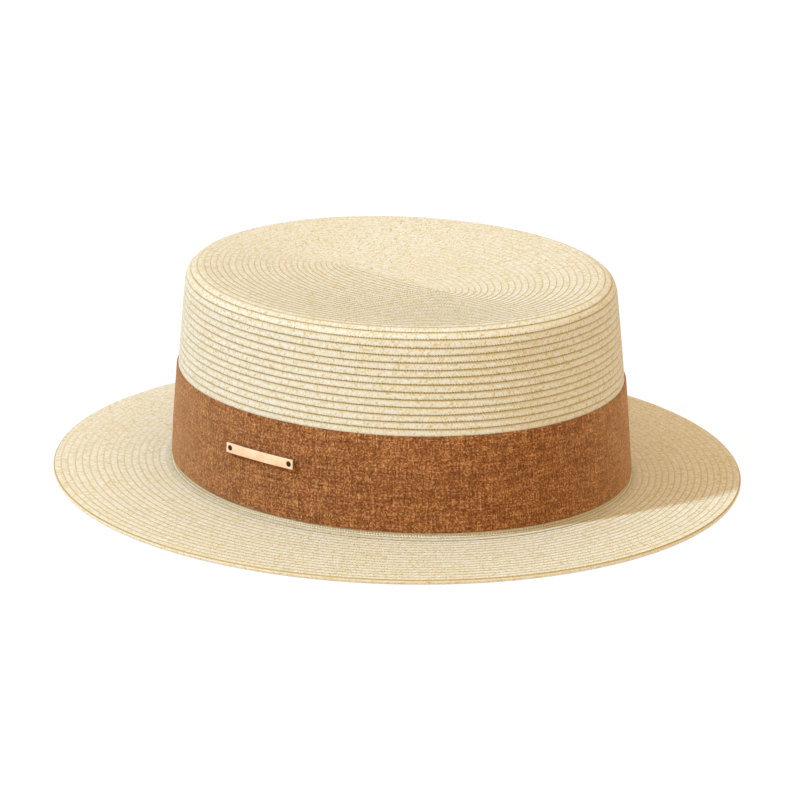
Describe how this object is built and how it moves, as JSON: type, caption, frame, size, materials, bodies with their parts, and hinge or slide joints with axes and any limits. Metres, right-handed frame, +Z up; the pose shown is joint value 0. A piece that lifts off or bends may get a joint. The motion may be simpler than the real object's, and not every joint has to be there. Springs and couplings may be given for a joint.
{
  "type": "straw boater hat",
  "caption": "Flat-topped oval straw hat with a stiff flat brim, a cloth band round the crown and a small leather tag.",
  "frame": {"origin": "under the middle of the hat, on the plane that the brim rests on", "axes": "+Z up out of the crown, -Y to the hat's front, +X to the wearer's left"},
  "size_m": [0.272, 0.2926, 0.0859],
  "materials": {
    "straw": "narrow plaited straw braid, cream with golden strands, sewn in overlapping turns",
    "band_cloth": "tan brown plain-woven linen",
    "tag_leather": "pale natural leather, smooth and matt, cut edges",
    "rivet_metal": "dark aged brass"
  },
  "bodies": {
    "root": {"crown": "straw", "brim": "straw", "band": "band_cloth", "tag": "tag_leather", "tag_rivet_1": "rivet_metal", "tag_rivet_2": "rivet_metal"}
  },
  "joints": []
}
